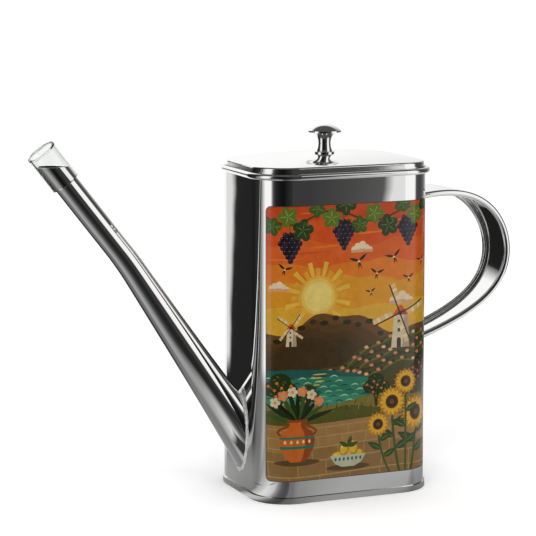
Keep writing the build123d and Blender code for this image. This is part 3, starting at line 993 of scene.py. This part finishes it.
def ramp(tree, position, stops):
    """A colour ramp over a direction, its stops given in degrees and grey levels."""
    made = node(tree, "ValToRGB", {"Fac": position})
    elements = made.color_ramp.elements
    while len(elements) < len(stops):
        elements.new(0.5)
    for element, (direction, value) in zip(elements, stops):
        element.position = 0.5 + direction / 360
        element.color = grey(value)
    return made


def tent_cloth(name, on_table):
    """The tent's cloth and cards, as light: shown only in reflections."""
    made, tree = bare_material(name)
    place = node(tree, "TexCoord").outputs["Object"]
    parts = node(tree, "SeparateXYZ", {"Vector": place}).outputs
    aside = node(tree, "Math", {0: parts["X"], 1: spout_side_shift}, operation="ADD")
    turn = node(tree, "Math", {0: aside, 1: parts["Y"]}, operation="ARCTAN2")
    share = node(tree, "MapRange", {"Value": turn, "From Min": -pi, "From Max": pi})
    inside = 1.0
    for outer, inner in sheet_edges:
        edge = node(tree, "MapRange", {
            "Value": turn, "From Min": radians(outer), "From Max": radians(inner)})
        inside = node(tree, "Math", {0: edge, 1: inside}, operation="MULTIPLY")
    dark, light = ramp(tree, share, tent_dark), ramp(tree, share, tent_light)
    shown = node(tree, "Mix", {"Factor": inside, "A": dark, "B": light}, data_type="RGBA")
    if on_table:
        flat = node(tree, "CombineXYZ", {"X": parts["X"], "Y": parts["Y"]})
        reach = node(tree, "VectorMath", {0: flat}, operation="LENGTH")
        for stops, far, near in table_blends:
            blend = node(tree, "MapRange", {"Value": reach, "From Min": far, "From Max": near},
                         interpolation_type="SMOOTHSTEP")
            over = ramp(tree, share, stops)
            shown = node(tree, "Mix", {"Factor": blend, "A": shown, "B": over}, data_type="RGBA")
    else:
        low, high = ceiling_blend
        blend = node(tree, "MapRange", {"Value": parts["Z"], "From Min": low, "From Max": high},
                     interpolation_type="SMOOTHSTEP")
        shown = node(tree, "Mix", {"Factor": blend, "A": shown, "B": grey(ceiling_grey)}, data_type="RGBA")
    light = node(tree, "Emission", {"Color": shown})
    node(tree, "OutputMaterial", {"Surface": light})
    made.cycles.emission_sampling = "NONE"
    return made


def only_in_reflections(made, *others):
    """Hides a part of the studio from the camera, soft light, shadows and any other rays named."""
    for ray in ("camera", "diffuse", "shadow") + others:
        setattr(made, "visible_" + ray, False)


def disc(bm, height):
    """A level disc as wide as the tent."""
    bmesh.ops.create_circle(bm, cap_ends=True, segments=180, radius=tent_radius,
                            matrix=Matrix.Translation((0, 0, height)))


bm = bmesh.new()
bmesh.ops.create_cone(bm, cap_ends=False, segments=180, radius1=tent_radius, radius2=tent_radius,
                      depth=tent_height, matrix=Matrix.Translation((0, 0, tent_height / 2)))
disc(bm, tent_height)
only_in_reflections(stage_object("tent_wall", bm, tent_cloth("tent_cloth", False)))
bm = bmesh.new()
disc(bm, tent_lift)
only_in_reflections(stage_object("tent_table", bm, tent_cloth("tent_table_cloth", True)))
print("tent", 2 * tent_radius, "m wide and", tent_height, "m high")

# %% [markdown]
# ## Two dark cards
#
# Photographers shape the reflections in metal with black cards. One stands close behind the can, on the
# handle's side, and darkens the hollow of the handle. The other lies aslant at the spout's root and darkens
# its front. A card's edge would show as a hard line, so each fades out towards its edge.

# %% Dark cards
def dark_card(name, level, soft_edge, corners):
    """A flat card of one grey level with soft edges, its corners and its edge in millimetres."""
    made, tree = bare_material(name)
    light = node(tree, "Emission", {"Color": grey(level)})
    clear = node(tree, "BsdfTransparent")
    shade = node(tree, "Attribute", attribute_name="shade")
    mixed = node(tree, "MixShader", {0: shade.outputs["Fac"], 1: clear, 2: light})
    node(tree, "OutputMaterial", {"Surface": mixed})
    made.cycles.emission_sampling = "NONE"
    bm = bmesh.new()
    shade = bm.loops.layers.float_color.new("shade")
    inner = bm.faces.new([bm.verts.new(Vector(corner) * mm) for corner in corners])
    bm.normal_update()
    bmesh.ops.inset_region(bm, faces=[inner], thickness=soft_edge * mm, use_boundary=True,
                           use_even_offset=True)
    solid = set(inner.verts)
    for loop in (loop for face in bm.faces for loop in face.loops):
        loop[shade] = (1, 1, 1, 1) if loop.vert in solid else (0, 0, 0, 1)
    only_in_reflections(stage_object(name, bm, made), "transmission")
    print(name, "at grey level", level)


hollow_place, hollow_outline = 100, [(4, -22), (116, -22), (116, 114), (58, 119), (42, 156), (4, 156)]
dark_card("hollow_card", 30, 24, [(x, hollow_place, z) for x, z in hollow_outline])
dark_card("root_card", 56, 7, [(-46, -8, 6.4), (-46, -43, 6.4), (-70, -43, 0.2), (-70, -8, 0.2)])
